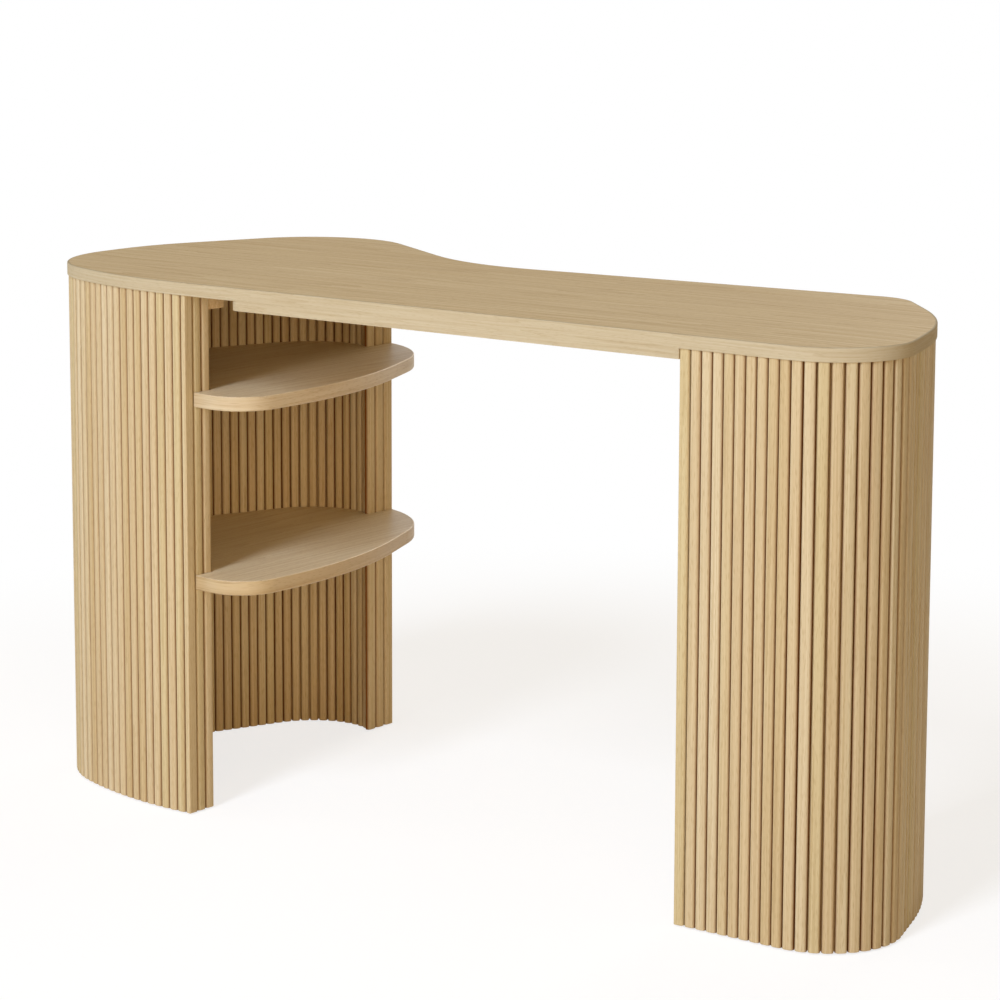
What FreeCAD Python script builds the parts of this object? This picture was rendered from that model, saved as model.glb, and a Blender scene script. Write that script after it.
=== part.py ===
import FreeCAD, Part
import math
import os

# Bean-shaped writing desk on two slatted pedestals. Millimetres, +Z up.
# The origin is on the floor under the middle of the top. The long straight edge faces -Y.

# Desk top
desk_height = 760.0
top_thick = 18.0
band_thick = 3.0        # solid edge band bent round the top
edge_round = 2.0        # eased upper edge of the top, and both edges of the shelves
lower_edge_round = 0.4  # the top's lower edge is only broken, so the rail meets it closely

# Corners of the top before rounding, anticlockwise: x, y, rounding radius
top_corners = [
    (765.0, -294.5, 104.0),     # near right
    (662.5, 19.5, 519.0),       # bulge of the right end
    (502.0, 188.0, 79.0),       # far right
    (-199.0, 126.0, 346.0),     # waist, where the far edge draws in
    (-590.0, 365.0, 149.0),     # far left lobe
    (-726.0, 22.5, 345.0),      # bulge of the left end
    (-724.5, -210.5, 186.0),    # near left
    (-496.5, -294.5, 600.0),    # slow bend into the straight near edge
]
far_right, waist, lobe = 2, 3, 4    # places in the list above

# Slatted walls of the pedestals
overhang = 2.0          # top past the slats
slat_thick = 7.0
left_slat_pitch = 15.6
inner_slat_pitch = 14.8
right_slat_pitch = 16.1
slat_gap = 1.2          # shadow gap between neighbouring slats
end_gap = 1.8           # the same across an open wall's end
slat_round = 4.2        # rounded front edges of a slat
corner_round = 1.2      # outer arris of a corner slat
core_thick = 38.5       # bent plywood
post_width = 17.0       # corner slats, measured through the wall
left_post_length = 9.5
right_post_length = 13.5
slat_clear = 2.0        # slats stop this far above the floor
core_clear = 3.0        # glide pads carry the cores at this height
glue_line = 0.1         # slats stand off the plywood by this much
fit_gap = 0.3
scribe_gap = 0.9        # shelves and blocks clear the slat fronts by this much

# Where the walls end beside the knee space
left_near_end = -366.5
left_far_reach = 50.5   # past the middle of the far left lobe
right_face = 462.5

# Shelves of the left pedestal: height of each upper face, and the free front edge
shelf_thick = 20.5
shelf_heights = {"left_upper_shelf": 604.0, "left_lower_shelf": 344.0}
near_tip = -276.0       # y of the ear that covers the near wall's end
shelf_front = [         # front corners before rounding: x, y, radius
    (-269.0, -286.0, 61.0),
    (-259.0, -40.0, 700.0),
    (-370.0, 247.0, 200.0),
]
dowels_per_shelf = 5

# Right pedestal: a closed column with plates inside
panel_thick = 18.0
plate_thick = 18.0
plate_levels = {"right_base_plate": 3.0, "right_mid_rib": 360.0, "right_top_plate": 724.0}
screws_per_plate = 4
panel_screw_rows = (-120.0, 60.0)       # y of the screws through the knee panel
top_plate_holes = [(530.0, -190.0), (625.0, -150.0), (575.0, -20.0), (520.0, 55.0)]

# Stiffening rail and fixing blocks under the top
rail_setback = 0.3      # nearly flush with the edge of the top
rail_thick = 18.0
rail_height = 13.5
rail_left = -285.0
rail_end_round = 17.5   # near corner of the rail's free end
rail_screw_count = 5
block_length = 40.0
block_depth = 37.0
block_height = 26.0
block_setback = 8.0
upright_screw_place = 0.7   # along a block, as a share of its length
side_screw_place = 0.3

# Hardware
screw_radius = 2.0
screw_head_radius = 4.0
screw_head_height = 2.6
head_sink = 0.6         # screw heads sit this far below the face they go through
screw_bite = 9.0        # depth of a screw in the top
core_screw_bite = 25.6  # depth of a block's side screw in the wall, slat included
plate_screw_length = 62.0
panel_screw_length = 45.0
dowel_radius = 4.0
dowel_length = 27.0
dowel_bite = 12.0       # depth of a dowel in the top
shelf_dowel_radius = 3.0
shelf_dowel_in_core = 16.0
shelf_dowel_in_shelf = 14.0
bore_clear = 0.05
pad_radius = 12.0
pad_end_room = 18.0     # from a wall's plywood end to the middle of its last pad
pads_per_wall = 4
nail_radius = 1.5
nail_length = 18.0

under_top = desk_height - top_thick
slat_face = overhang                    # insets from the edge of the top
core_face = slat_face + slat_thick
core_middle = core_face + core_thick / 2
core_back = core_face + core_thick
inner_face = core_back + slat_thick
far_away = 2000.0                       # past every piece


def vec(x, y, z=0.0):
    return FreeCAD.Vector(x, y, z)


up = vec(0, 0, 1)


# Outlines made of straight runs and tangent arcs
def corner_data(corners, i):
    """A corner, unit vectors to its neighbours, half the angle between them, and the turn's sign."""
    here = vec(*corners[i][:2])
    back = vec(*corners[i - 1][:2]).sub(here).normalize()
    ahead = vec(*corners[(i + 1) % len(corners)][:2]).sub(here).normalize()
    half = back.getAngle(ahead) / 2
    turn = 1 if back.cross(ahead).z < 0 else -1
    return here, back, ahead, half, turn


def inset_corners(corners, inset):
    """Corners of the outline moved inwards: round corners tighten and hollow ones open."""
    moved = []
    for i, (x, y, radius) in enumerate(corners):
        _, back, ahead, half, turn = corner_data(corners, i)
        inward = back.add(ahead).normalize() * (turn * inset / math.sin(half))
        moved.append((x + inward.x, y + inward.y, radius - turn * inset))
    return moved


def rounding(corners, i):
    """Start, middle, end and centre of the arc that rounds a corner."""
    here, back, ahead, half, _ = corner_data(corners, i)
    radius = corners[i][2]
    run = radius / math.tan(half)
    bisector = back.add(ahead).normalize()
    centre = here.add(bisector * (radius / math.sin(half)))
    middle = centre.sub(bisector * radius)
    return here.add(back * run), middle, here.add(ahead * run), centre


def rounded_wire(corners):
    """Closed outline through rounded corners. A radius of 0 leaves a corner sharp."""
    starts, ends, arcs = [], [], []
    for i, (x, y, radius) in enumerate(corners):
        if radius:
            start, middle, end, _ = rounding(corners, i)
            arcs.append(Part.Arc(start, middle, end).toShape())
        else:
            start = end = vec(x, y)
            arcs.append(None)
        starts.append(start)
        ends.append(end)
    edges = []
    for i, arc in enumerate(arcs):
        edges.append(Part.makeLine(ends[i - 1], starts[i]))
        if arc:
            edges.append(arc)
    return Part.Wire(edges)


def polygon(points):
    return Part.makePolygon(points + points[:1])


def prism(wire, low, high):
    face = Part.Face(wire)
    face.translate(vec(0, 0, low))
    return face.extrude(vec(0, 0, high - low))


def centre_on_origin(corners):
    middle = rounded_wire(corners).BoundBox.Center
    return [(x - middle.x, y - middle.y, radius) for x, y, radius in corners]


corners = centre_on_origin(top_corners)


def outline(inset):
    return rounded_wire(inset_corners(corners, inset))


def ring(outside, inside, low, high):
    """Upright wall that follows the top's edge between two insets."""
    return prism(outline(outside), low, high).cut(prism(outline(inside), low, high))


# Ends of the walls
class End:
    """A wall end: its outer corner, the way out of the wall and the way through its thickness."""

    def __init__(self, corner, out, through):
        self.corner = corner
        self.out = out
        self.through = through

    def at(self, out, through, z=0.0):
        """A point at distances from the end's outer corner."""
        return self.corner.add(self.out * out).add(self.through * through).add(vec(0, 0, z))

    def slab(self, out_low, out_high, low, high, through_low=-far_away, through_high=far_away):
        """Upright block between two distances from the end's face."""
        base = [self.at(out_low, through_low), self.at(out_high, through_low),
                self.at(out_high, through_high), self.at(out_low, through_high)]
        return prism(polygon(base), low, high)


def far_edge_at(x, inset):
    """Height in plan of the straight far edge between the waist and the far right corner."""
    moved = inset_corners(corners, inset)
    x0, y0, _ = moved[far_right]
    x1, y1, _ = moved[waist]
    return y0 + (y1 - y0) * (x - x0) / (x1 - x0)


def lobe_edge_at(inset):
    """Height in plan of the far left lobe where the left wall ends."""
    return lobe_centre.y + math.sqrt((corners[lobe][2] - inset) ** 2 - left_far_reach ** 2)


near_face = outline(slat_face).BoundBox.YMin
lobe_centre = rounding(corners, lobe)[3]
left_far_end = lobe_centre.x + left_far_reach
left_near = End(vec(left_near_end, near_face), vec(1, 0), vec(0, 1))
left_far = End(vec(left_far_end, lobe_edge_at(slat_face)), vec(1, 0), vec(0, -1))
right_near = End(vec(right_face, near_face), vec(-1, 0), vec(0, 1))
right_far = End(vec(right_face, far_edge_at(right_face, slat_face)), vec(-1, 0), vec(0, -1))
left_hub = vec(lobe_centre.x, 0)
right_hub = vec((right_face + outline(0).BoundBox.XMax) / 2, 0)


def left_region(back_off, lean=0.0):
    """The left pedestal's side of its two end planes, moved back into the wall, the far one by more."""
    near = left_near_end - back_off
    far = left_far_end - back_off - lean
    points = [vec(-far_away, -far_away), vec(near, -far_away), vec(near, lobe_centre.y),
              vec(far, lobe_centre.y), vec(far, far_away), vec(-far_away, far_away)]
    return prism(polygon(points), -far_away, far_away)


def right_region(back_off):
    return right_near.slab(-far_away, -back_off, -far_away, far_away)


# Slats
def path_along(inset, region):
    """Open path at an inset from the top's edge, within a region."""
    pieces = outline(inset).common(region)
    return Part.Wire(Part.sortEdges(pieces.Edges)[0])


def slat_profile(width):
    """Section of a slat lying on its flat back, with its rounded front towards +Y."""
    half = width / 2
    shoulder = slat_thick - slat_round
    flat = half - slat_round
    bend = slat_round * (1 - math.sqrt(0.5))
    left_round = Part.Arc(vec(-half, shoulder), vec(bend - half, slat_thick - bend), vec(-flat, slat_thick))
    right_round = Part.Arc(vec(flat, slat_thick), vec(half - bend, slat_thick - bend), vec(half, shoulder))
    return Part.Wire([
        Part.makeLine(vec(-half, 0), vec(-half, shoulder)),
        left_round.toShape(),
        Part.makeLine(vec(-flat, slat_thick), vec(flat, slat_thick)),
        right_round.toShape(),
        Part.makeLine(vec(half, shoulder), vec(half, 0)),
        Part.makeLine(vec(half, 0), vec(-half, 0)),
    ])


def place_slat(width, middle, facing):
    """One slat with the middle of its back at a point and its front facing a direction."""
    slat = prism(slat_profile(width), slat_clear, under_top)
    turn = math.degrees(math.atan2(-facing.x, facing.y))
    slat.Placement = FreeCAD.Placement(middle, FreeCAD.Rotation(up, turn))
    return slat


def slat_stations(path, pitch, hub, towards_hub):
    """Equal stations along a path: where each slat's back is seated and faces, and their pitch.

    A flat back is seated on the highest of its middle and its edges, so it touches a round wall
    at its middle and a hollow wall at its edges.
    """
    count = round(path.Length / pitch)
    points = path.discretize(Number=2 * count + 1)
    stations = []
    for i in range(count):
        first, middle, last = points[2 * i:2 * i + 3]
        along = last.sub(first).normalize()
        facing = vec(along.y, -along.x)
        if (facing.dot(hub.sub(middle)) > 0) != towards_hub:
            facing = facing * -1
        seat = max(facing.dot(p.sub(middle)) for p in (first, middle, last))
        stations.append((middle.add(facing * (seat + glue_line)), facing))
    return stations, path.Length / count


def slat_row(stations, pitch, hollow=False):
    """Slats at stations. On a hollow wall, where their fronts crowd together, they are planed narrower."""
    slats = []
    for i, (middle, facing) in enumerate(stations):
        bend = max(facing.getAngle(beside) for _, beside in stations[max(i - 1, 0):i + 2])
        crowding = slat_thick * bend if hollow else 0
        slats.append(place_slat(pitch - slat_gap - crowding, middle, facing))
    return slats


def uprights_of(post, end):
    """Upright edges of a corner slat, the one at the wall's outer corner first."""
    uprights = [e for e in post.Edges if e.BoundBox.ZLength > top_thick]
    return sorted(uprights, key=lambda e: e.CenterOfMass.sub(end.corner).cross(up).Length)


def corner_post(end, length):
    """Corner slat at a wall's end, rounded on its uprights and crisp on its outer arris."""
    pieces = ring(slat_face, slat_face + post_width, slat_clear, under_top).common(
        end.slab(-length, 0, slat_clear, under_top))
    post = min(pieces.Solids, key=lambda s: s.CenterOfMass.distanceToPoint(end.corner))
    post = post.makeFillet(slat_round, uprights_of(post, end)[1:])
    return post.makeFillet(corner_round, uprights_of(post, end)[:1])


def end_slats(end, first, last):
    """Two slats across the end of an open wall, from its corner slat to its inner face."""
    pitch = (last - first) / 2
    return [place_slat(pitch - end_gap, end.at(-slat_thick, first + pitch * (i + 0.5)), end.out)
            for i in range(2)]


def edges_along(shape, wire, level):
    """Edges of a piece at one level that follow a wire in plan."""
    found = []
    for edge in shape.Edges:
        spot = edge.valueAt((edge.FirstParameter + edge.LastParameter) / 2)
        flat = edge.BoundBox.ZLength < fit_gap and abs(spot.z - level) < fit_gap
        if flat and wire.distToShape(Part.Vertex(vec(spot.x, spot.y)))[0] < fit_gap / 2:
            found.append(edge)
    return found


# Hardware
def screw(head, drive, length, clear=0.0):
    """Countersunk wood screw from the flat of its head, or room for it where clear is given."""
    cone = Part.makeCone(screw_head_radius + clear, screw_radius + clear, screw_head_height, head, drive)
    shank = Part.makeCylinder(screw_radius + clear, length + clear, head, drive)
    return cone.fuse(shank)


def rod(start, drive, length, radius):
    return Part.makeCylinder(radius, length, start, drive)


class Fasteners:
    """A group of like fasteners, and the bores that the pieces around them need."""

    def __init__(self):
        self.solids = []
        self.bores = []

    def add_screw(self, face, drive, length):
        """A screw through a face, its head just below it."""
        head = face.add(drive * head_sink)
        mouth = rod(face.sub(drive * head_sink), drive, 2 * head_sink, screw_head_radius + bore_clear)
        self.solids.append(screw(head, drive, length))
        self.bores.append(screw(head, drive, length, bore_clear).fuse(mouth))

    def add_rod(self, start, drive, length, radius):
        self.solids.append(rod(start, drive, length, radius))
        self.bores.append(rod(start, drive, length + bore_clear, radius + bore_clear))


def bored(shape, *groups):
    """A piece with room for every fastener of some groups."""
    return shape.cut(Part.makeCompound([bore for group in groups for bore in group.bores]))


def picks(count, total):
    """Evenly spread places among a number of stations, clear of both ends."""
    return [round((total - 1) * (k + 1) / (count + 1)) for k in range(count)]


def wall_hardware(region):
    """Dowels up into the top, and glide pads with their nails, along the middle of a wall."""
    dowels, nails, pads = Fasteners(), Fasteners(), []
    dowel_foot = vec(0, 0, under_top + dowel_bite - dowel_length)
    nail_foot = vec(0, 0, core_clear / 2)
    for spot in path_along(core_middle, region).discretize(Number=pads_per_wall):
        dowels.add_rod(spot.add(dowel_foot), up, dowel_length, dowel_radius)
        nails.add_rod(spot.add(nail_foot), up, nail_length, nail_radius)
        pads.append(rod(spot, up, core_clear, pad_radius))
    pads = [bored(pad, nails) for pad in pads]
    return dowels, nails, pads


nodes = {}

# Left pedestal: open C-shaped wall of bent plywood, slatted on every face
left_posts = [corner_post(end, left_post_length) for end in (left_near, left_far)]
left_core = ring(core_face, core_back, core_clear, under_top).common(left_region(slat_thick))
left_core = left_core.cut(Part.makeCompound(left_posts))
far_lean = slat_thick * left_far_reach / (corners[lobe][2] - core_face)
outer_path = path_along(core_face, left_region(left_post_length + slat_gap, far_lean))
inner_path = path_along(core_back, left_region(slat_thick))
inner_stations, inner_pitch = slat_stations(inner_path, inner_slat_pitch, left_hub, True)
inner_slats = slat_row(inner_stations, inner_pitch, True)
left_dowels, left_nails, left_pads = wall_hardware(left_region(slat_thick + pad_end_room))

# Room that the finished wall takes up, for the pieces that are scribed to it
far_depths = [left_far.corner.y - lobe_edge_at(inset) for inset in (slat_face + post_width, inner_face)]
wall_room = ring(0, inner_face + scribe_gap, 0, desk_height).common(left_region(-fit_gap))
wall_room = wall_room.fuse(left_far.slab(-slat_thick - fit_gap, fit_gap, 0, desk_height, 0, far_depths[1]))
far_tip = left_far.at(0, fit_gap)
shelf_corners = [
    (left_near_end, near_tip, 0),
    *shelf_front,
    (far_tip.x, far_tip.y, 0),
    (lobe_centre.x, lobe_centre.y, 0),
    (left_near_end, 0, 0),
]


def make_shelf(upper_face):
    """Shelf scribed to the inner slats, with a bowed front that covers both wall ends."""
    low = upper_face - shelf_thick
    front = rounded_wire(shelf_corners)
    front_part = prism(front, low, upper_face)
    back_part = prism(outline(inner_face), low, upper_face).common(left_region(0))
    shelf = front_part.fuse(back_part).cut(wall_room).removeSplitter()
    front_edges = edges_along(shelf, front, low) + edges_along(shelf, front, upper_face)
    return shelf.makeFillet(edge_round, front_edges)


all_shelf_dowels = []
shelf_dowel_length = shelf_dowel_in_core + slat_thick + scribe_gap + shelf_dowel_in_shelf
for name, upper_face in shelf_heights.items():
    dowels = Fasteners()
    for k in picks(dowels_per_shelf, len(inner_stations)):
        middle, facing = inner_stations[k]
        start = middle.sub(facing * shelf_dowel_in_core).add(vec(0, 0, upper_face - shelf_thick / 2))
        dowels.add_rod(start, facing, shelf_dowel_length, shelf_dowel_radius)
    nodes[name] = bored(make_shelf(upper_face), dowels)
    nodes[name + "_dowels"] = dowels.solids
    all_shelf_dowels.append(dowels)

# Fixing blocks under the top, screwed up into it and sideways into the wall
back_middle, back_facing = inner_stations[len(inner_stations) // 2]
left_back = End(back_middle, vec(-back_facing.y, back_facing.x), back_facing)
block_places = {
    "left_near_fixing_block": (left_near, -block_setback - block_length, inner_face - slat_face),
    "left_far_fixing_block": (left_far, -block_setback - block_length, inner_face - slat_face),
    "left_back_fixing_block": (left_back, -block_length / 2, slat_thick),
}
block_screws = Fasteners()
block_low = under_top - block_height
for name, (end, start, seat) in block_places.items():
    inner_side = seat + block_depth
    block = end.slab(start, start + block_length, block_low, under_top, seat - slat_thick, inner_side)
    nodes[name] = block.cut(wall_room)
    upright = end.at(start + upright_screw_place * block_length, inner_side - block_depth / 3, block_low)
    sideways = end.at(start + side_screw_place * block_length, inner_side, block_low + block_height / 2)
    block_screws.add_screw(upright, up, block_height + screw_bite)
    block_screws.add_screw(sideways, end.through * -1, block_depth + core_screw_bite)
for name in block_places:
    nodes[name] = bored(nodes[name], block_screws)

nodes["left_wall_core"] = bored(left_core, left_dowels, left_nails, block_screws, *all_shelf_dowels)
nodes["left_outer_slats"] = slat_row(*slat_stations(outer_path, left_slat_pitch, left_hub, False))
nodes["left_inner_slats"] = [bored(slat, block_screws, *all_shelf_dowels) for slat in inner_slats]
nodes["left_near_corner_slat"], nodes["left_far_corner_slat"] = left_posts
nodes["left_near_end_slats"] = end_slats(left_near, post_width, inner_face - slat_face)
nodes["left_far_end_slats"] = end_slats(left_far, *far_depths)
nodes["left_fixing_block_screws"] = block_screws.solids
nodes["left_top_dowels"] = left_dowels.solids
nodes["left_glide_pads"] = left_pads
nodes["left_glide_nails"] = left_nails.solids

# Right pedestal: bent plywood closed by a flat knee panel, with plates inside
right_posts = [corner_post(end, right_post_length) for end in (right_near, right_far)]
right_core = ring(core_face, core_back, core_clear, under_top).common(right_region(slat_thick))
right_core = right_core.cut(Part.makeCompound(right_posts))
right_path = path_along(core_face, right_region(right_post_length + slat_gap))
right_stations, right_pitch = slat_stations(right_path, right_slat_pitch, right_hub, False)
right_dowels, right_nails, right_pads = wall_hardware(right_region(slat_thick + pad_end_room))
knee_gap = post_width + slat_gap
knee_ends = [end.at(-slat_thick, knee_gap) for end in (right_near, right_far)]
knee_path = Part.Wire(Part.makeLine(*knee_ends))
column_inside = prism(outline(core_back + fit_gap), core_clear, under_top)
knee_panel = column_inside.common(right_near.slab(-slat_thick - panel_thick, -slat_thick, 0, desk_height))

plate_screws, panel_screws, top_plate_screws = Fasteners(), Fasteners(), Fasteners()
for level in plate_levels.values():
    middle_level = vec(0, 0, level + plate_thick / 2)
    for k in picks(screws_per_plate, len(right_stations)):
        middle, facing = right_stations[k]
        plate_screws.add_screw(middle.add(middle_level), facing * -1, plate_screw_length)
    for row in panel_screw_rows:
        head = vec(right_face + slat_thick, row).add(middle_level)
        panel_screws.add_screw(head, vec(1, 0), panel_screw_length)
for x, y in top_plate_holes:
    top_plate_screws.add_screw(vec(x, y, under_top - plate_thick), up, plate_thick + screw_bite)

for name, level in plate_levels.items():
    plate = prism(outline(core_back + fit_gap), level, level + plate_thick)
    plate = plate.common(right_region(slat_thick + panel_thick))
    nodes[name] = bored(plate, plate_screws, panel_screws, top_plate_screws)
nodes["right_wall_core"] = bored(right_core, right_dowels, right_nails, plate_screws)
nodes["right_knee_panel"] = bored(knee_panel, panel_screws)
nodes["right_outer_slats"] = slat_row(right_stations, right_pitch)
nodes["right_knee_slats"] = slat_row(*slat_stations(knee_path, right_slat_pitch, right_hub, False))
nodes["right_near_corner_slat"], nodes["right_far_corner_slat"] = right_posts
nodes["right_plate_screws"] = plate_screws.solids
nodes["right_panel_screws"] = panel_screws.solids
nodes["right_top_plate_screws"] = top_plate_screws.solids
nodes["right_top_dowels"] = right_dowels.solids
nodes["right_glide_pads"] = right_pads
nodes["right_glide_nails"] = right_nails.solids

# Stiffening rail under the near edge, screwed up into the top
rail_right = right_face - fit_gap
rail_length = rail_right - rail_left
rail_corner = vec(rail_left, near_face - slat_face + rail_setback, under_top - rail_height)
rail = Part.makeBox(rail_length, rail_thick, rail_height, rail_corner)
free_corner = [e for e in rail.Edges
               if e.CenterOfMass.x < rail_left + fit_gap and e.CenterOfMass.y < rail_corner.y + fit_gap]
rail = rail.makeFillet(rail_end_round, free_corner)
rail_screws = Fasteners()
for k in range(rail_screw_count):
    along = rail_length * (k + 0.5) / rail_screw_count
    rail_screws.add_screw(rail_corner.add(vec(along, rail_thick / 2)), up, rail_height + screw_bite)
nodes["front_rail"] = bored(rail, rail_screws)
nodes["front_rail_screws"] = rail_screws.solids

# Top: veneered panel inside a bent solid edge band with eased edges
band = ring(0, band_thick, under_top, desk_height)
rim = outline(0)
band = band.makeFillet(edge_round, edges_along(band, rim, desk_height))
nodes["top_edge_band"] = band.makeFillet(lower_edge_round, edges_along(band, rim, under_top))
nodes["top_panel"] = bored(prism(outline(band_thick), under_top, desk_height), left_dowels, right_dowels,
                           block_screws, top_plate_screws, rail_screws)

os.makedirs("parts", exist_ok=True)
for name, shape in nodes.items():
    if isinstance(shape, list):
        shape = Part.makeCompound(shape)
    shape.exportStep("parts/%s.step" % name)
    print(name, len(shape.Solids), "solids", round(shape.Volume / 1000), "cm3", shape.isValid())
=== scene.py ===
import math
import random

import bmesh
import bpy
from mathutils import Matrix, Vector


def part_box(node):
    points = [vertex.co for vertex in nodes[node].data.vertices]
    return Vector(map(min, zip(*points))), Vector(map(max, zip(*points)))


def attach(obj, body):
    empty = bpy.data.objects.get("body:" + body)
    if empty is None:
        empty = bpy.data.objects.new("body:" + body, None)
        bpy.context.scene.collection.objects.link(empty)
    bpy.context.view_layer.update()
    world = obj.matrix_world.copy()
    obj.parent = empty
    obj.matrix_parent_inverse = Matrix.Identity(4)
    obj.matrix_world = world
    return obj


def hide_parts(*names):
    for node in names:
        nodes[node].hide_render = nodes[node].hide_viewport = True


# Bean-shaped oak desk on two slatted pedestals. Metres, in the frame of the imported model.
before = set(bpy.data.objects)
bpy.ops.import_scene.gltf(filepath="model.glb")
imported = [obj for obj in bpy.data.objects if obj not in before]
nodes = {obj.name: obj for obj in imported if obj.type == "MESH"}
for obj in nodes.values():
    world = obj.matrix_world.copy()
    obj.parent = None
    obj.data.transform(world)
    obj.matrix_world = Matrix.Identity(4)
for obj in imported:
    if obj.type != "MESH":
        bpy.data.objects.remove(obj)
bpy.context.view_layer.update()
scene = bpy.context.scene
scene.view_settings.view_transform = "Standard"
mm = 0.001
dice = random.Random(17)
print("frame:", len(nodes), "nodes")


# Nodes and colours
def linear(hexColour):
    # sRGB hex to the linear values that sockets take
    channels = [int(hexColour[i:i + 2], 16) / 255 for i in (1, 3, 5)]
    return [c / 12.92 if c <= 0.04045 else ((c + 0.055) / 1.055) ** 2.4 for c in channels] + [1.0]


def addNode(tree, kind, settings=None, inputs=None):
    # one node: its settings, colour stops if it has any, and inputs as values or links
    node = tree.nodes.new("ShaderNode" + kind)
    for key, value in (settings or {}).items():
        if key == "stops":
            ramp = node.color_ramp.elements
            while len(ramp) < len(value):
                ramp.new(0.5)
            for stop, (place, hexColour) in zip(ramp, value):
                stop.position = place
                stop.color = linear(hexColour)
        else:
            setattr(node, key, value)
    for key, value in (inputs or {}).items():
        if isinstance(value, bpy.types.NodeSocket):
            tree.links.new(value, node.inputs[key])
        else:
            node.inputs[key].default_value = value
    return node


mixA, mixB, mixResult = 6, 7, 2                     # colour sockets of a Mix node
vectorMixA, vectorMixB, vectorMixResult = 4, 5, 1   # and its vector sockets


def newMaterial(name):
    material = bpy.data.materials.new(name)
    material.use_nodes = True
    tree = material.node_tree
    return material, tree, tree.nodes["Principled BSDF"]


def scaled(tree, place, sizes):
    # a place counted in pattern sizes, which are in millimetres
    perMetre = [1 / (size * mm) for size in sizes]
    return addNode(tree, "VectorMath", {"operation": "MULTIPLY"}, {0: place, 1: perMetre}).outputs[0]


def stained(tree, colour, mask, hexColour):
    # a colour multiplied by a tint as far as a mask says
    mixed = addNode(tree, "Mix", {"data_type": "RGBA", "blend_type": "MULTIPLY"},
                    {0: mask, mixA: colour, mixB: linear(hexColour)})
    return mixed.outputs[mixResult]


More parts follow.
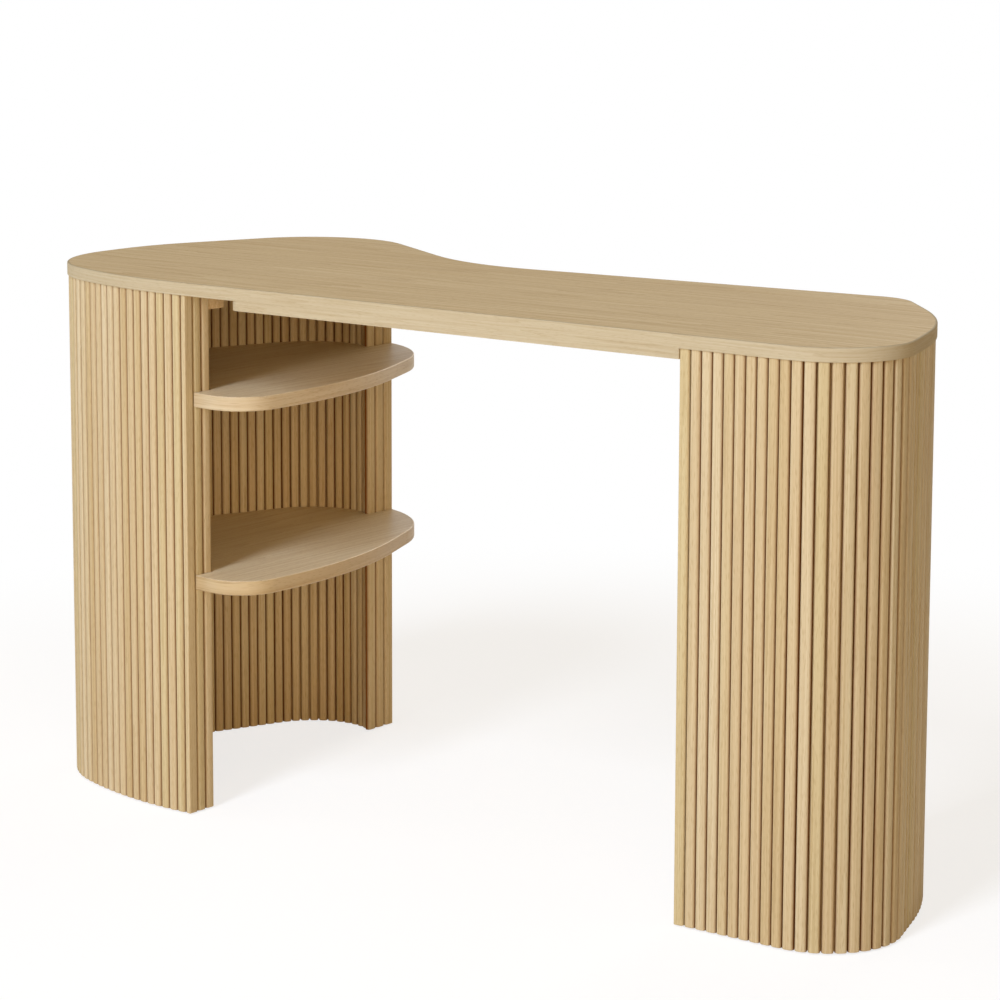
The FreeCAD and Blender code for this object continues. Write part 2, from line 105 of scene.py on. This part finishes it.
# Oak, planed or sliced and sealed with a matt clear lacquer: pale straw wood with straight darker
# streaks, faint growth lines, short pores and a soft sheen
def oak(name, look):
    material, tree, shader = newMaterial(name)
    if look["ownGrain"]:
        place = addNode(tree, "Attribute", {"attribute_name": "grain"}).outputs["Vector"]
        tone = addNode(tree, "Attribute", {"attribute_name": "boardTone"}).outputs["Fac"]
    else:
        coords = addNode(tree, "TexCoord").outputs
        place = coords["Object"]
        if look["lipping"]:
            # upright faces show the lipping, its grain level all round
            tilt = addNode(tree, "SeparateXYZ", None, {0: coords["Normal"]})
            flat = addNode(tree, "Math", {"operation": "ABSOLUTE"}, {0: tilt.outputs["Z"]}).outputs[0]
            onEdge = addNode(tree, "Math", {"operation": "LESS_THAN"},
                             {0: flat, 1: look["lipTilt"]}).outputs[0]
            level = addNode(tree, "VectorMath", {"operation": "MULTIPLY"}, {0: place, 1: look["lipStretch"]})
            along = addNode(tree, "Mix", {"data_type": "VECTOR"},
                            {0: onEdge, vectorMixA: place, vectorMixB: level.outputs[0]})
            place = along.outputs[vectorMixResult]
        leaf = scaled(tree, place, look["leafSize"])
        tone = addNode(tree, "TexNoise", None, {"Vector": leaf, "Scale": 1, "Detail": 1}).outputs["Fac"]
    stops = [((k + 0.5) / len(look["tones"]), tint) for k, tint in enumerate(look["tones"])]
    colour = addNode(tree, "ValToRGB", {"stops": stops}, {"Fac": tone}).outputs["Color"]
    if look["lipping"]:
        colour = stained(tree, colour, onEdge, look["lipTint"])

    # streaks of slow and fast growth
    fine = scaled(tree, place, look["streakSize"])
    streak = addNode(tree, "TexNoise", None,
                     {"Vector": fine, "Scale": 1, "Detail": 3, "Roughness": 0.6}).outputs["Fac"]
    faint, full = look["streakRange"]
    streakMask = addNode(tree, "MapRange", None,
                         {"Value": streak, "From Min": faint, "From Max": full, "To Max": look["streak"]})
    colour = stained(tree, colour, streakMask.outputs[0], look["streakTint"])

    # growth lines, level lines of a slow noise, sharp on their late side
    wide = scaled(tree, place, look["ringSize"])
    ring = addNode(tree, "TexNoise", None, {"Vector": wide, "Scale": 1, "Detail": 1.5, "Roughness": 0.4})
    count = addNode(tree, "Math", {"operation": "MULTIPLY"}, {0: ring.outputs["Fac"], 1: look["ringCount"]})
    saw = addNode(tree, "Math", {"operation": "FRACT"}, {0: count.outputs[0]})
    late = addNode(tree, "Math", {"operation": "POWER"}, {0: saw.outputs[0], 1: look["ringSharpness"]})
    ringMask = addNode(tree, "Math", {"operation": "MULTIPLY"}, {0: late.outputs[0], 1: look["rings"]})
    colour = stained(tree, colour, ringMask.outputs[0], look["ringTint"])

    # pores, real ones are about 0.3 mm wide and are drawn wider so that they show
    tiny = scaled(tree, place, look["poreSize"])
    pore = addNode(tree, "TexVoronoi", None, {"Vector": tiny, "Scale": 1}).outputs["Distance"]
    faint, full = look["poreRange"]
    poreMask = addNode(tree, "MapRange", None, {"Value": pore, "From Min": faint, "From Max": full,
                                                "To Max": look["pores"]}).outputs[0]
    colour = stained(tree, colour, poreMask, look["poreTint"])

    # a few pin knots
    if look["knots"]:
        far = scaled(tree, place, look["knotSpacing"])
        cell = addNode(tree, "TexVoronoi", None, {"Vector": far, "Scale": 1}).outputs
        near = addNode(tree, "MapRange", None, {"Value": cell["Distance"], "From Min": look["knotReach"],
                                                "From Max": look["knotCore"]})
        chosen = addNode(tree, "Math", {"operation": "LESS_THAN"}, {0: cell["Color"], 1: look["knots"]})
        knot = addNode(tree, "Math", {"operation": "MULTIPLY"}, {0: near.outputs[0], 1: chosen.outputs[0]})
        knotted = addNode(tree, "Mix", {"data_type": "RGBA"},
                          {0: knot.outputs[0], mixA: colour, mixB: linear(look["knotTint"])})
        colour = knotted.outputs[mixResult]

    # painted shade in the grooves between slats, a darker warmer brown down their rounded edges
    if look["ownGrain"]:
        depth = addNode(tree, "Attribute", {"attribute_name": "groove"}).outputs["Fac"]
        colour = stained(tree, colour, depth, look["grooveShadeTint"])

    # the lacquer lies thinner over the pores and streaks
    height = addNode(tree, "Math", {"operation": "MULTIPLY_ADD"},
                     {0: streak, 1: look["streakHeight"], 2: poreMask})
    bump = addNode(tree, "Bump", {"invert": True}, {"Strength": look["bump"], "Distance": look["bumpDepth"],
                                                    "Height": height.outputs[0]})
    smoother, duller = (look["roughness"] + change for change in look["roughSpread"])
    rough = addNode(tree, "MapRange", None, {"Value": streak, "From Min": 0.3, "From Max": 0.7,
                                             "To Min": smoother, "To Max": duller})
    tree.links.new(colour, shader.inputs["Base Color"])
    tree.links.new(rough.outputs[0], shader.inputs["Roughness"])
    tree.links.new(bump.outputs[0], shader.inputs["Normal"])
    shader.inputs["IOR"].default_value = look["ior"]
    shader.inputs["Specular IOR Level"].default_value = look["sheen"]
    return material


# sizes in millimetres along X, Y and Z
oakLook = {
    "ownGrain": False, "lipping": False, "lipTilt": 0.7, "lipStretch": (0.02, 1, 1),
    "tones": ["#DCC296", "#DFC69B", "#E2CAA0"], "leafSize": (900, 160, 160),
    "streakSize": (420, 4.5, 4.5), "streakRange": (0.42, 0.75), "streak": 0.42, "streakTint": "#D8C4A4",
    "ringSize": (900, 38, 38), "ringCount": 9, "ringSharpness": 3.0, "rings": 0.35, "ringTint": "#CDB48C",
    "poreSize": (16, 1.5, 1.5), "poreRange": (0.34, 0.12), "pores": 0.4, "poreTint": "#C2A67A",
    "knots": 0,
    "roughness": 0.6, "roughSpread": (-0.05, 0.07), "sheen": 0.25, "ior": 1.47,
    "bump": 0.25, "bumpDepth": 0.3 * mm, "streakHeight": -0.4,
}

# solid slats, planed square and rounded over, each cut from another board
slatOak = oak("planedOakSlats", {
    **oakLook, "ownGrain": True, "sheen": 0.1,
    "tones": ["#CBB68D", "#D4C4A0", "#CFBB96", "#CEBD93", "#D6C6A4", "#CCB790", "#D2BF9A"],
    # the groove tint is painted shade, darker and warmer down each slat's rounded edges toward the gaps
    "streakSize": (2.6, 2.6, 380), "streak": 0.4, "grooveShadeTint": "#A06C34",
    "ringSize": (11, 11, 900), "ringCount": 7, "rings": 0.28, "poreSize": (1.3, 1.3, 18),
    "knots": 0.07, "knotSpacing": (45, 45, 130), "knotReach": 0.07, "knotCore": 0.0245, "knotTint": "#7A5228",
})
# sliced veneer on the top, its figure running the length of the desk
topOak = oak("slicedOakVeneer", {**oakLook, "tones": ["#D6BE92", "#D9C296", "#DCC69B"], "sheen": 0.12})
# the same veneer on the shelves, its figure running across the pedestal's mouth
shelfLook = {
    **oakLook, "tones": ["#DDCCAB", "#E0CFAE", "#E3D2B1"], "sheen": 0.5, "roughness": 0.44,
    "lipping": True, "lipTint": "#ECE8E2",
    "leafSize": (160, 900, 160), "streakSize": (4.5, 420, 4.5), "streak": 0.4,
    "ringSize": (38, 900, 38), "rings": 0.25, "poreSize": (1.5, 16, 1.5),
}
shelfOak = oak("slicedOakShelfVeneer", shelfLook)
# the lower shelf, its lipping tinted darker than the upper shelf's as painted shade, standing in for the
# shadow the upper shelf casts on it
lowerShelfShadedOak = oak("slicedOakLowerShelfVeneerPaintedShade", {**shelfLook, "lipTint": "#DFD5C3"})
# solid band bent round the top, so its grain runs level along every part of the edge
bandOak = oak("bentOakBand", {
    **oakLook, "tones": ["#C1B294", "#C3B597", "#C6B89B"], "sheen": 0.03, "roughness": 0.7,
    "leafSize": (500, 500, 60), "streakSize": (160, 160, 2.4), "streak": 0.3,
    "ringSize": (500, 500, 13), "rings": 0.2, "poreSize": (14, 14, 1.3), "pores": 0.22,
})
# sawn battens under the top
battenOak = oak("sawnOakBattens", {**oakLook, "roughness": 0.55, "bump": 0.35})
print("oak: 6 finishes")


# Birch plywood behind the slats: even, slightly grey-brown face with a fine upright grain
def birchPlywood():
    material, tree, shader = newMaterial("birchPlywood")
    fine = scaled(tree, addNode(tree, "TexCoord").outputs["Object"], (3, 3, 150))
    grain = addNode(tree, "TexNoise", None, {"Vector": fine, "Scale": 1, "Detail": 3}).outputs["Fac"]
    colour = addNode(tree, "ValToRGB", {"stops": [(0.3, "#A6844F"), (0.7, "#BF9F6C")]}, {"Fac": grain})
    bump = addNode(tree, "Bump", None, {"Strength": 0.2, "Distance": 0.2 * mm, "Height": grain})
    tree.links.new(colour.outputs["Color"], shader.inputs["Base Color"])
    tree.links.new(bump.outputs[0], shader.inputs["Normal"])
    shader.inputs["Roughness"].default_value = 0.65
    return material


# Turned beech dowels: pinkish, with short dark flecks 1.5 mm apart
def turnedBeech():
    material, tree, shader = newMaterial("turnedBeech")
    place = addNode(tree, "TexCoord").outputs["Object"]
    fleck = addNode(tree, "TexVoronoi", None, {"Vector": place, "Scale": 1 / (1.5 * mm)})
    colour = addNode(tree, "ValToRGB", {"stops": [(0.1, "#A8794E"), (0.4, "#CFA67A")]},
                     {"Fac": fleck.outputs["Distance"]})
    tree.links.new(colour.outputs["Color"], shader.inputs["Base Color"])
    shader.inputs["Roughness"].default_value = 0.6
    return material


# Zinc-plated steel: bright cool grey with cloudy patches of 4 mm in its plating
def zincPlatedSteel():
    material, tree, shader = newMaterial("zincPlatedSteel")
    place = addNode(tree, "TexCoord").outputs["Object"]
    cloud = addNode(tree, "TexNoise", None,
                    {"Vector": place, "Scale": 1 / (4 * mm), "Detail": 2}).outputs["Fac"]
    colour = addNode(tree, "ValToRGB", {"stops": [(0.35, "#A9ACAF"), (0.65, "#C9CBCC")]}, {"Fac": cloud})
    rough = addNode(tree, "MapRange", None, {"Value": cloud, "To Min": 0.25, "To Max": 0.45})
    tree.links.new(colour.outputs["Color"], shader.inputs["Base Color"])
    tree.links.new(rough.outputs[0], shader.inputs["Roughness"])
    shader.inputs["Metallic"].default_value = 1.0
    return material


# Moulded nylon glides: off-black with a fine spark-eroded texture
def mouldedNylon():
    material, tree, shader = newMaterial("mouldedNylon")
    place = addNode(tree, "TexCoord").outputs["Object"]
    grit = addNode(tree, "TexNoise", None,
                   {"Vector": place, "Scale": 1 / (0.8 * mm), "Detail": 2}).outputs["Fac"]
    colour = addNode(tree, "ValToRGB", {"stops": [(0.3, "#2B2A28"), (0.7, "#3A3835")]}, {"Fac": grit})
    bump = addNode(tree, "Bump", None, {"Strength": 0.4, "Distance": 0.1 * mm, "Height": grit})
    tree.links.new(colour.outputs["Color"], shader.inputs["Base Color"])
    tree.links.new(bump.outputs[0], shader.inputs["Normal"])
    shader.inputs["Roughness"].default_value = 0.55
    return material


finishes = {
    "slat_oak": slatOak, "oak_veneer": topOak, "solid_oak": battenOak, "plywood": birchPlywood(),
    "beech_dowel": turnedBeech(), "zinc_steel": zincPlatedSteel(), "glide_plastic": mouldedNylon(),
}
# the lower shelf takes the copy of the shelf finish with painted shade on its lipping
ownFinish = {"top_edge_band": bandOak, "front_rail": bandOak,
             "left_upper_shelf": shelfOak, "left_lower_shelf": lowerShelfShadedOak}
for name, node in nodes.items():
    for matSlot in node.material_slots:
        matSlot.material = ownFinish.get(name) or finishes[matSlot.material.name]
print("finishes on every node")


# Slats: one piece for each row, rebuilt from the frame with a crowned front and eased ends
slatShape = {
    "edgeRound": 4.2 * mm, "roundSteps": 8,
    "crown": 0.25 * mm, "crownSteps": 4,
    "footEase": 1.0 * mm, "headEase": 0.15 * mm, "easeSteps": 3,
    "wobble": 0.07 * mm,        # how far planing and sanding leave each slat from its nominal size
    "grooveShadeStart": 0.2, "grooveShadeGain": 1.1,      # where the painted groove shade sets in down the rounded edge
    "boardSpread": 9,           # metres of pattern that the boards are picked from
    "sharpAngle": 40,
    "weldReach": 0.005 * mm, "levelReach": 0.01 * mm,
}
slatNodes = ["left_outer_slats", "left_inner_slats", "left_near_end_slats", "left_far_end_slats",
             "right_outer_slats", "right_knee_slats"]
cornerNodes = ["left_near_corner_slat", "left_far_corner_slat",
               "right_near_corner_slat", "right_far_corner_slat"]


def solidsOf(name):
    # foot section of each solid in a node, an ordered loop of plan points, and the node's two levels
    welded = bmesh.new()
    welded.from_mesh(nodes[name].data)
    bmesh.ops.remove_doubles(welded, verts=welded.verts, dist=slatShape["weldReach"])
    low, high = (corner.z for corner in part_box(name))
    atFoot = {v for v in welded.verts if abs(v.co.z - low) < slatShape["levelReach"]}
    rim = {}
    for edge in welded.edges:
        if edge.verts[0] in atFoot and edge.verts[1] in atFoot:
            level = [all(v in atFoot for v in face.verts) for face in edge.link_faces]
            if level.count(True) == 1:
                for a, b in (edge.verts, reversed(edge.verts)):
                    rim.setdefault(a.index, []).append(b.index)
    welded.verts.ensure_lookup_table()
    loops, seen = [], set()
    for start in sorted(rim):
        if start in seen:
            continue
        loop = [start]
        seen.add(start)
        while True:
            ahead = [i for i in rim[loop[-1]] if i not in seen]
            if not ahead:
                break
            loop.append(ahead[0])
            seen.add(ahead[0])
        loops.append([welded.verts[i].co.xy.to_3d() for i in loop])
    welded.free()
    loops.sort(key=lambda loop: [round(c, 4) for c in sum(loop, Vector()) / len(loop)])
    return loops, low, high


def slatAxes(loop):
    # from a slat's foot section: the middle of its flat back, the ways across it and out of its front,
    # its width and its thickness
    longest = max(zip(loop, loop[1:] + loop[:1]), key=lambda pair: (pair[1] - pair[0]).length)
    middle = (longest[0] + longest[1]) / 2
    across = (longest[1] - longest[0]).normalized()
    facing = Vector((-across.y, across.x, 0))
    if sum((p - middle).dot(facing) for p in loop) < 0:
        facing = -facing
    width = max((p - middle).dot(across) for p in loop) * 2
    thick = max((p - middle).dot(facing) for p in loop)
    return middle, across, facing, width, thick


def slatSection(width, thick):
    # plan of a slat from its back left corner round its crowned front, as across and out
    radius, crown = slatShape["edgeRound"], slatShape["crown"]
    half = width / 2
    flat = half - radius
    shoulder = thick - radius - crown
    side = [(-half, 0), (-half, shoulder / 2)]
    for k in range(slatShape["roundSteps"]):
        turn = math.pi / 2 * k / slatShape["roundSteps"]
        side.append((-flat - radius * math.cos(turn), shoulder + radius * math.sin(turn)))
    front = []
    for k in range(slatShape["crownSteps"] + 1):
        share = 2 * k / slatShape["crownSteps"] - 1
        front.append((share * flat, thick - crown * share * share))
    return side + front + [(-x, y) for x, y in reversed(side)]


def inset(section, depth):
    # a closed section drawn in by a depth, square to its outline
    moved = []
    for k, point in enumerate(section):
        before, after = Vector(section[k - 1]), Vector(section[(k + 1) % len(section)])
        along = (after - before).normalized()
        moved.append((point[0] + along.y * depth, point[1] - along.x * depth))
    return moved


def easedRings(section, low, high):
    # sections up a slat, drawn in at the foot and the head
    foot, head = slatShape["footEase"], slatShape["headEase"]
    rings = []
    for k in range(slatShape["easeSteps"] + 1):
        turn = math.pi / 2 * k / slatShape["easeSteps"]
        rings.append((foot * (1 - math.sin(turn)), low + foot * (1 - math.cos(turn))))
    rings.append((0, high - head))
    rings.append((head, high))
    return [(inset(section, depth), z) for depth, z in rings]


def slatPiece(pieceName, nodeName, bars, shadeGrooves):
    # one mesh of many slats, each with its own tone and its own place in the wood
    spread = slatShape["boardSpread"]
    points, faces, grain, tone, groove = [], [], [], [], []
    for middle, across, facing, section, low, high in bars:
        boardTone = dice.random()
        boardPlace = Vector([dice.uniform(-spread, spread) for axis in "xyz"])
        rings = easedRings(section, low, high)
        first, size = len(points), len(section)
        front = max(out for _, out in section)
        for ring, z in rings:
            for (a, out), (_, depth) in zip(ring, section):
                points.append(middle + across * a + facing * out + Vector((0, 0, z)))
                grain.append(boardPlace + Vector((a, out, z)))
                tone.append(boardTone)
                # painted groove shade, growing down the rounded edge toward the gap between slats
                sunk = slatShape["grooveShadeGain"] * (front - depth) / slatShape["edgeRound"]
                sunk -= slatShape["grooveShadeStart"]
                groove.append(min(max(sunk, 0), 1) if shadeGrooves else 0)
        for level in range(len(rings) - 1):
            for k in range(size):
                a, b = first + level * size + k, first + level * size + (k + 1) % size
                faces.append((a, b, b + size, a + size))
        faces.append(tuple(range(first + size - 1, first - 1, -1)))
        faces.append(tuple(range(first + (len(rings) - 1) * size, first + len(rings) * size)))
    mesh = bpy.data.meshes.new(pieceName)
    mesh.from_pydata(points, [], faces)
    flatGrain = [c for place in grain for c in place]
    mesh.attributes.new("grain", "FLOAT_VECTOR", "POINT").data.foreach_set("vector", flatGrain)
    mesh.attributes.new("boardTone", "FLOAT", "POINT").data.foreach_set("value", tone)
    mesh.attributes.new("groove", "FLOAT", "POINT").data.foreach_set("value", groove)
    tidy = bmesh.new()
    tidy.from_mesh(mesh)
    bmesh.ops.recalc_face_normals(tidy, faces=tidy.faces)
    tidy.to_mesh(mesh)
    tidy.free()
    mesh.polygons.foreach_set("use_smooth", [True] * len(mesh.polygons))
    mesh.set_sharp_from_angle(angle=math.radians(slatShape["sharpAngle"]))
    mesh.materials.append(slatOak)
    piece = bpy.data.objects.new(pieceName, mesh)
    scene.collection.objects.link(piece)
    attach(piece, "root")
    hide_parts(nodeName)


for nodeName in slatNodes:
    loops, low, high = solidsOf(nodeName)
    bars = []
    for loop in loops:
        middle, across, facing, width, thick = slatAxes(loop)
        section = slatSection(width + dice.uniform(-1, 1) * slatShape["wobble"],
                              thick + dice.uniform(-1, 1) * slatShape["wobble"])
        bars.append((middle, across, facing, section, low, high))
    slatPiece("oak_" + nodeName, nodeName, bars, True)
    print(nodeName, len(bars), "slats")

for nodeName in cornerNodes:
    loops, low, high = solidsOf(nodeName)
    centre = sum(loops[0], Vector()) / len(loops[0])
    section = [(p - centre).xy.to_tuple() for p in loops[0]]
    area = sum(a[0] * b[1] - a[1] * b[0] for a, b in zip(section, section[1:] + section[:1]))
    if area > 0:
        section.reverse()       # same way round as the slats' sections
    bar = (centre, Vector((1, 0, 0)), Vector((0, 1, 0)), section, low, high)
    slatPiece("oak_" + nodeName, nodeName, [bar], False)
print("corner slats:", len(cornerNodes))

# Camera, fitted to the outline of the top and the floor lines of the pedestals
cameraView = {"place": (2.824, -3.757, 1.339), "yaw": 37.32, "pitch": 8.99, "roll": 0.17,
              "focalPixels": 3416, "framePixels": 1000, "sensor": 36.0, "shift": -0.1}


def addCamera(view):
    yaw, pitch, roll = (math.radians(view[key]) for key in ("yaw", "pitch", "roll"))
    ahead = Vector((-math.sin(yaw) * math.cos(pitch), math.cos(yaw) * math.cos(pitch), -math.sin(pitch)))
    right = Vector((math.cos(yaw), math.sin(yaw), 0))
    above = right.cross(ahead)
    tilted = right * math.cos(roll) + above * math.sin(roll)
    upright = above * math.cos(roll) - right * math.sin(roll)
    turn = Matrix((tilted, upright, -ahead)).transposed().to_4x4()
    camera = bpy.data.objects.new("camera", bpy.data.cameras.new("camera"))
    camera.matrix_world = Matrix.Translation(view["place"]) @ turn
    camera.data.sensor_width = view["sensor"]
    camera.data.lens = view["focalPixels"] / view["framePixels"] * view["sensor"]
    camera.data.shift_y = view["shift"]
    scene.collection.objects.link(camera)
    scene.camera = camera


addCamera(cameraView)

# Studio: a tall cool strip nearly square to the near edge, weak lamps on the left and behind, a warm one
# on the right, a narrow low warm beam into the open pedestal, and a dim warm surround
studio = {
    "strip": {"place": (1.06, -7.97, 5.6), "size": (1.9, 6.3), "watts": 750, "colour": "#E0ECFF"},
    "left": {"place": (-4.3, -2.2, 0.9), "size": (2.4, 1.6), "watts": 42, "colour": "#F4F8FF"},
    "right": {"place": (5.4, -6.2, 1.9), "size": (3.2, 2.8), "watts": 115, "colour": "#FFE4C2"},
    "back": {"place": (-1.2, 6.0, 2.6), "size": (3.0, 2.0), "watts": 80, "colour": "#FFF6E8"},
    "snoot": {"place": (6.0, -4.9, 1.0), "size": (0.8, 0.8), "watts": 0.36, "colour": "#FFDDB0",
              "spread": 8, "target": (-0.5, 0.02, 0.36)},
    "target": (0, 0, 0.42), "surround": "#84714F",
}


def addLamp(name, settings):
    lamp = bpy.data.lights.new(name, "AREA")
    lamp.shape = "RECTANGLE"
    lamp.size, lamp.size_y = settings["size"]
    lamp.energy = settings["watts"]
    lamp.color = linear(settings["colour"])[:3]
    lamp.spread = math.radians(settings.get("spread", 180))
    body = bpy.data.objects.new(name, lamp)
    body.location = settings["place"]
    target = Vector(settings.get("target", studio["target"]))
    body.rotation_euler = (target - body.location).to_track_quat("-Z", "Y").to_euler()
    scene.collection.objects.link(body)


for name in ("strip", "left", "right", "back", "snoot"):
    addLamp(name + "Lamp", studio[name])


def seenDirectly(tree):
    # 1 where the camera, a reflection or a clear piece looks at the surround
    rays = addNode(tree, "LightPath").outputs
    some = addNode(tree, "Math", {"operation": "MAXIMUM"},
                   {0: rays["Is Camera Ray"], 1: rays["Is Glossy Ray"]})
    every = addNode(tree, "Math", {"operation": "MAXIMUM"},
                    {0: some.outputs[0], 1: rays["Is Transmission Ray"]})
    return every.outputs[0]


world = bpy.data.worlds.new("surround")
world.use_nodes = True
scene.world = world
skyTree = world.node_tree
skyColour = addNode(skyTree, "Mix", {"data_type": "RGBA"},
                    {0: seenDirectly(skyTree), mixA: linear(studio["surround"]), mixB: linear("#FFFFFF")})
skyTree.links.new(skyColour.outputs[mixResult], skyTree.nodes["Background"].inputs["Color"])

# Floor: pale paint that shows as white where it is open, keeps a pale shadow, and turns plain white
# away from the desk
floorLook = {"radius": 14.0, "steps": 96, "albedo": "#FAF3E6", "seenAlbedo": "#A0A0A0", "seenGlow": 0.75,
             "fadeFrom": 1.05, "fadeTo": 2.0}


def addFloor(look):
    ring = [(look["radius"] * math.cos(t), look["radius"] * math.sin(t), 0)
            for t in (2 * math.pi * k / look["steps"] for k in range(look["steps"]))]
    mesh = bpy.data.meshes.new("floor")
    mesh.from_pydata(ring, [], [tuple(range(look["steps"]))])
    material, tree, shader = newMaterial("whiteFloorPaint")
    paint = addNode(tree, "BsdfDiffuse", None, {"Color": linear(look["albedo"])})
    seenPaint = addNode(tree, "BsdfDiffuse", None, {"Color": linear(look["seenAlbedo"])})
    glow = addNode(tree, "Emission", None, {"Color": linear("#FFFFFF"), "Strength": look["seenGlow"]})
    lit = addNode(tree, "AddShader", None, {0: seenPaint.outputs[0], 1: glow.outputs[0]})
    white = addNode(tree, "Emission", None, {"Color": linear("#FFFFFF"), "Strength": 1.0})
    place = addNode(tree, "TexCoord").outputs["Object"]
    away = addNode(tree, "VectorMath", {"operation": "LENGTH"}, {0: place}).outputs["Value"]
    fade = addNode(tree, "MapRange", {"interpolation_type": "SMOOTHSTEP"},
                   {"Value": away, "From Min": look["fadeFrom"], "From Max": look["fadeTo"]})
    seen = addNode(tree, "MixShader", None, {0: fade.outputs[0], 1: lit.outputs[0], 2: white.outputs[0]})
    both = addNode(tree, "MixShader", None, {0: seenDirectly(tree), 1: paint.outputs[0], 2: seen.outputs[0]})
    tree.links.new(both.outputs[0], tree.nodes["Material Output"].inputs["Surface"])
    tree.nodes.remove(shader)
    mesh.materials.append(material)
    floor = bpy.data.objects.new("floor", mesh)
    scene.collection.objects.link(floor)


addFloor(floorLook)
print("camera, lamps and floor")
